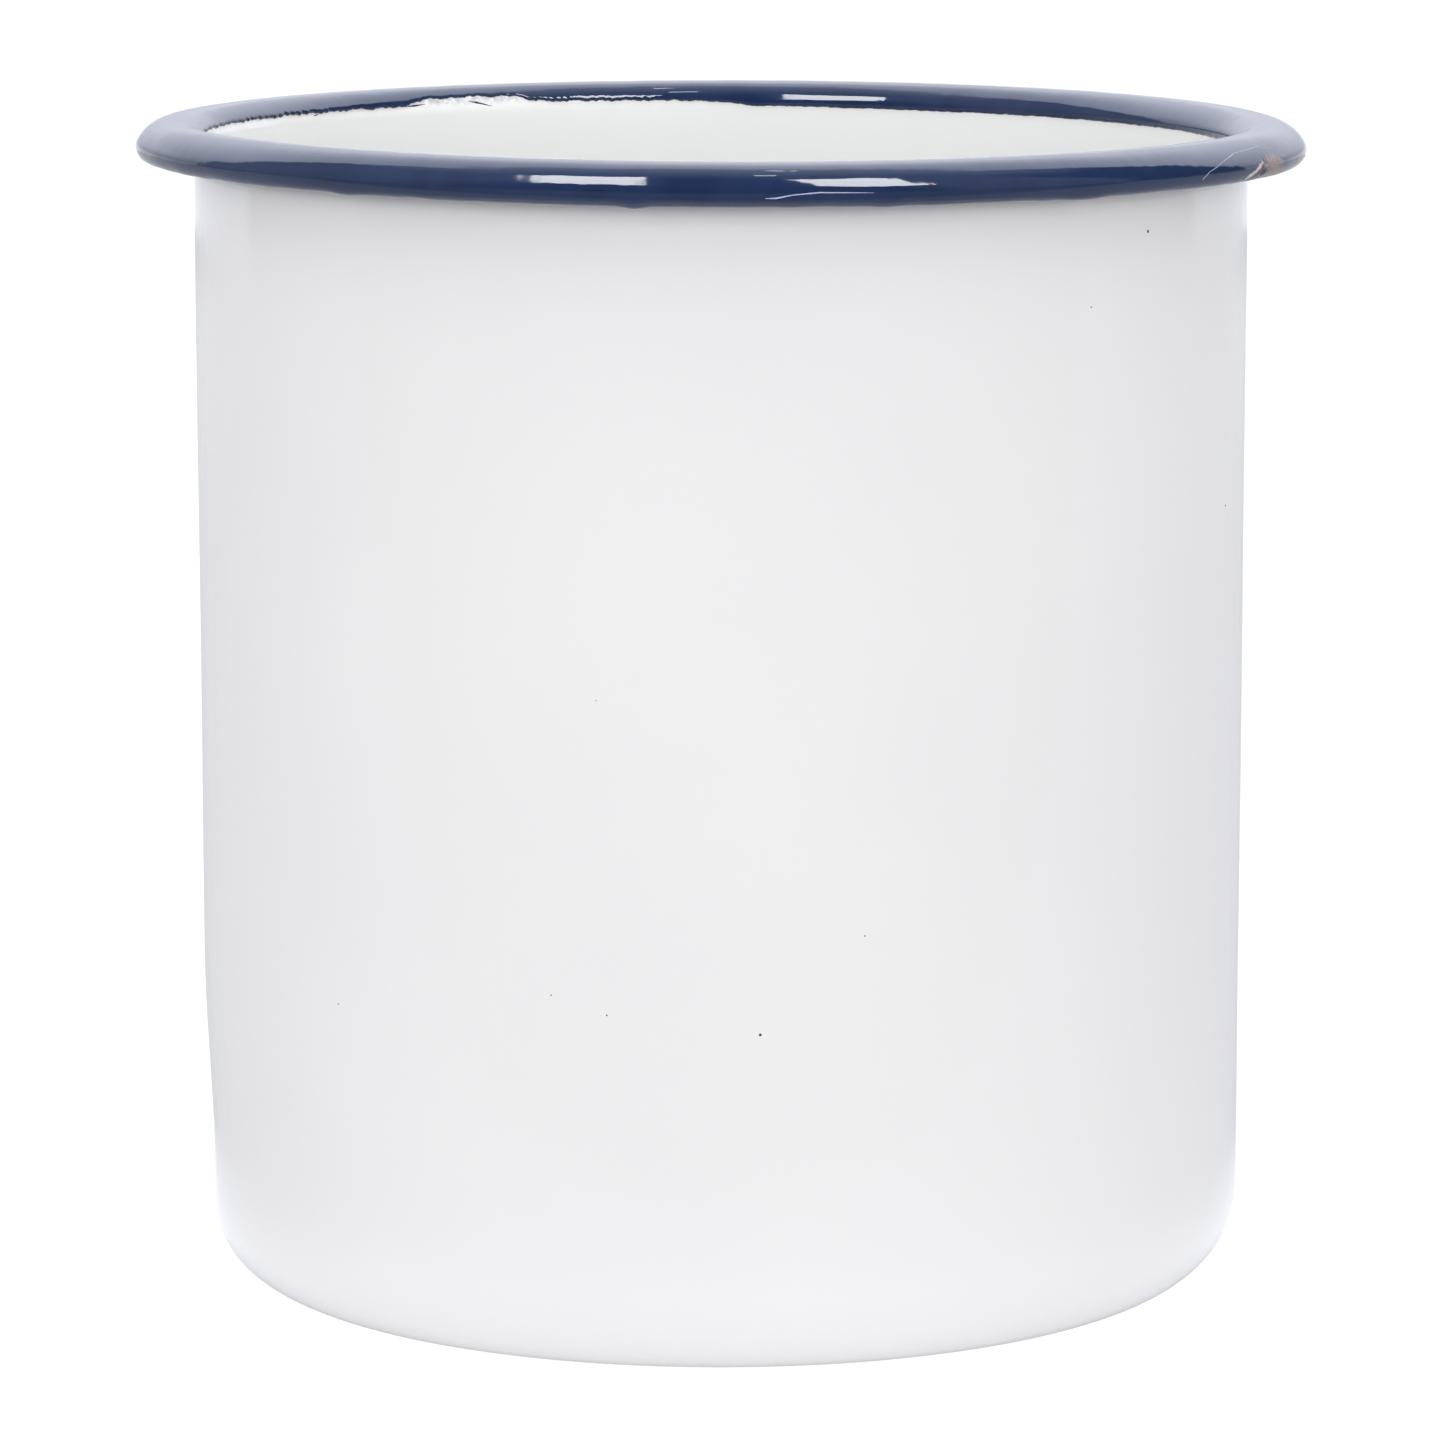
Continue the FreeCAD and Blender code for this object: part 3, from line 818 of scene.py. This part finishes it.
def make_floor():
    """White paper that glows for reflections, ends a little in front of the pail, and takes soft shadows."""
    mesh = bpy.data.meshes.new("floor")
    half = 6.0
    mesh.from_pydata([(-half, -half, 0), (half, -half, 0), (half, half, 0), (-half, half, 0)], [],
                     [(0, 1, 2, 3)])
    floor = bpy.data.objects.new("floor", mesh)
    bpy.context.scene.collection.objects.link(floor)
    material, tree, shader = new_material("floor_paper")
    shader.inputs["Base Color"].default_value = (0.2, 0.2, 0.2, 1.0)
    shader.inputs["Roughness"].default_value = 1.0
    shader.inputs["Specular IOR Level"].default_value = 0.0
    ray = tree.nodes.new("ShaderNodeLightPath").outputs
    tint = mix_colour(tree, ray["Is Glossy Ray"], (1.0, 1.0, 1.0), GLOSS_TINT)
    tree.links.new(tint, shader.inputs["Emission Color"])
    place = tree.nodes.new("ShaderNodeNewGeometry").outputs["Position"]
    split = tree.nodes.new("ShaderNodeSeparateXYZ")
    tree.links.new(place, split.inputs[0])
    across, along, _ = split.outputs
    flat = tree.nodes.new("ShaderNodeVectorMath")
    flat.operation = "LENGTH"
    tree.links.new(place, flat.inputs[0])
    reach = flat.outputs["Value"]
    paper = mix_number(tree, ramp(tree, along, PAPER_FRONT - 0.01, PAPER_FRONT + 0.01, 0, 1), ROOM_GLOW,
                       ramp(tree, reach, 0.07, 0.12, *PAPER_GLOW))
    behind = link_math(tree, "DIVIDE", along, reach)
    edge = math.cos(math.radians(SWEEP_HALF_ANGLE))
    beyond = ramp(tree, behind, edge - 0.03, edge + 0.03, ROOM_GLOW, SWEEP_GLOW[0])
    off_paper = ramp(tree, reach, PAPER_REACH - 0.04, PAPER_REACH + 0.04, 0, 1)
    seen_in_gloss = mix_number(tree, off_paper, paper, beyond)
    # Close round the pail the paper's glow as the gloss sees it is cut down, a painted contact shadow, and
    # for the shading rays the paper glows brighter there, a painted pool of bounce light.
    painted_contact_shadow = ramp(tree, reach, 0.052, 0.07, 0.3, 1)
    bounce = ramp(tree, reach, 0.066, 0.09, 0.76, 0.45)
    glow = mix_number(tree, ray["Is Glossy Ray"], bounce, link_math(tree, "MULTIPLY", seen_in_gloss, painted_contact_shadow))
    glow = mix_number(tree, ray["Is Camera Ray"], glow, 0.86)
    tree.links.new(glow, shader.inputs["Emission Strength"])
    mesh.materials.append(material)


def add_light(name, place, target, size, power):
    """A soft light that fills the shading but isn't mirrored by the enamel."""
    data = bpy.data.lights.new(name, "AREA")
    data.shape = "RECTANGLE"
    data.size, data.size_y = size
    data.energy = power
    light = bpy.data.objects.new(name, data)
    light.location = place
    light.rotation_euler = (Vector(target) - Vector(place)).to_track_quat("-Z", "Y").to_euler()
    light.visible_glossy = False
    bpy.context.scene.collection.objects.link(light)
    return light


def around(azimuth, distance, height):
    """A place seen from the pail at an azimuth from the camera's side, positive to the right."""
    angle = math.radians(azimuth)
    return (distance * math.sin(angle), -distance * math.cos(angle), height)


def add_softbox(name, corners, glow):
    """A bright panel that only shows in the enamel's gloss. Corners are (across / up, away / up) slopes."""
    distance = 2.0
    rays = [Vector((across, along, 1.0)).normalized() for across, along in corners]
    middle = sum(rays, Vector()).normalized()
    mesh = bpy.data.meshes.new(name)
    rim_centre = Vector((0.0, 0.0, OVERALL_HEIGHT))
    mesh.from_pydata([rim_centre + ray * (distance / ray.dot(middle)) for ray in rays], [],
                     [range(len(rays))])
    panel = bpy.data.objects.new(name, mesh)
    bpy.context.scene.collection.objects.link(panel)
    material, tree, shader = new_material(name)
    shader.inputs["Base Color"].default_value = (0.0, 0.0, 0.0, 1.0)
    shader.inputs["Emission Color"].default_value = (0.98, 1.0, 1.0, 1.0)
    shader.inputs["Emission Strength"].default_value = glow
    mesh.materials.append(material)
    panel.visible_camera = panel.visible_diffuse = panel.visible_shadow = False


def make_world():
    """White all round for the eye, a white sweep in a dim room for the gloss, and soft fill for shading."""
    world = bpy.data.worlds.new("studio")
    bpy.context.scene.world = world
    world.use_nodes = True
    tree = world.node_tree
    background = tree.nodes["Background"]
    ray = tree.nodes.new("ShaderNodeLightPath").outputs
    split = tree.nodes.new("ShaderNodeSeparateXYZ")
    tree.links.new(tree.nodes.new("ShaderNodeTexCoord").outputs["Generated"], split.inputs[0])
    across, along, up = split.outputs
    level = link_math(tree, "SQRT", link_math(tree, "SUBTRACT", 1.0, link_math(tree, "MULTIPLY", up, up)))
    behind = link_math(tree, "DIVIDE", along, link_math(tree, "MAXIMUM", level, 0.001))
    edge = math.cos(math.radians(SWEEP_HALF_ANGLE))
    top = math.sin(math.radians(SWEEP_TOP))
    sweep = link_math(tree, "MULTIPLY", ramp(tree, behind, edge - 0.03, edge + 0.03, 0, 1),
                      ramp(tree, up, top - 0.03, top + 0.03, 1, 0))
    white = mix_number(tree, ramp(tree, up, 0.0, 0.26, 0, 1), SWEEP_GLOW[0], SWEEP_GLOW[1])
    white = mix_number(tree, ramp(tree, up, 0.26, 0.6, 0, 1), white, SWEEP_GLOW[2])
    sideways = link_math(tree, "DIVIDE", across, link_math(tree, "MAXIMUM", level, 0.001))
    left = ramp(tree, sideways, -1.0, -0.6, 1, 0)
    to_right = ramp(tree, sideways, 0.6, 0.8, 0, 1)
    in_front = ramp(tree, behind, -0.12, 0.0, 1, 0)
    right = link_math(tree, "MULTIPLY", to_right, in_front)
    room = mix_number(tree, link_math(tree, "MAXIMUM", left, right), ROOM_GLOW, SIDE_GLOW)
    ceiling = link_math(tree, "MULTIPLY", ramp(tree, along, -0.3, 0.4, 0.1, CEILING_GLOW),
                        ramp(tree, up, 0.7, 0.92, 0, 1))
    room = link_math(tree, "MAXIMUM", room, ceiling)
    gloss = mix_number(tree, sweep, room, white)
    low_fill = link_math(tree, "MULTIPLY_ADD", link_math(tree, "MULTIPLY", sideways, sideways), 0.72, 0.26)
    fill = mix_number(tree, ramp(tree, up, 0.45, 0.8, 0, 1), low_fill, 1.0)
    strength = mix_number(tree, ray["Is Glossy Ray"], fill, gloss)
    strength = mix_number(tree, ray["Is Camera Ray"], strength, 1.0)
    tint = mix_colour(tree, ray["Is Glossy Ray"], (1.0, 1.0, 1.0), GLOSS_TINT)
    tree.links.new(mix_colour(tree, ray["Is Camera Ray"], tint, (1.0, 1.0, 1.0)), background.inputs["Color"])
    tree.links.new(strength, background.inputs["Strength"])


def make_camera():
    data = bpy.data.cameras.new("camera")
    data.sensor_width = 36.0
    data.lens = 185.85
    camera = bpy.data.objects.new("camera", data)
    camera.location = (0.00012, -0.8911, 0.2084)
    pitch, roll = math.radians(9.023), math.radians(-0.039)
    camera.matrix_world = (Matrix.Translation(camera.location)
                           @ Matrix.Rotation(math.pi / 2 - pitch, 4, "X") @ Matrix.Rotation(roll, 4, "Z"))
    bpy.context.scene.collection.objects.link(camera)
    bpy.context.scene.camera = camera


make_floor()
make_world()
make_camera()
aim = (0, 0, 0.1)
add_light("fill_above", (0, 0, 1.7), aim, (0.6, 0.6), 7)
add_light("fill_left", around(-28, 1.2, 0.40), aim, (0.55, 0.5), 3.25)
add_light("fill_right", around(28, 1.2, 0.40), aim, (0.55, 0.5), 3.0)
add_light("fill_back_left", around(-152, 1.2, 0.38), aim, (0.55, 0.5), 2.6)
add_light("fill_back_right", around(152, 1.2, 0.38), aim, (0.55, 0.5), 2.6)
SOFTBOX_GLOW = 14.0
LAMP_GLOW = 9.0
add_softbox("softbox_left", [(-0.4, -0.1), (-0.15, -0.15), (-0.25, -0.7), (-0.6, -0.55)], SOFTBOX_GLOW)
add_softbox("lamp_strip_back", [(0.06, 0.37), (0.1, 0.35), (0.1, 0.3), (0.06, 0.32)], LAMP_GLOW)
add_softbox("lamp_strip_top", [(0.05, 0.02), (0.1, 0.02), (0.1, -0.03), (0.05, -0.03)], LAMP_GLOW)
add_softbox("softbox_right", [(0.15, -0.25), (0.35, -0.15), (0.8, -0.7), (0.65, -0.95), (0.3, -0.65)],
            SOFTBOX_GLOW)

bpy.context.scene.view_settings.view_transform = "Standard"
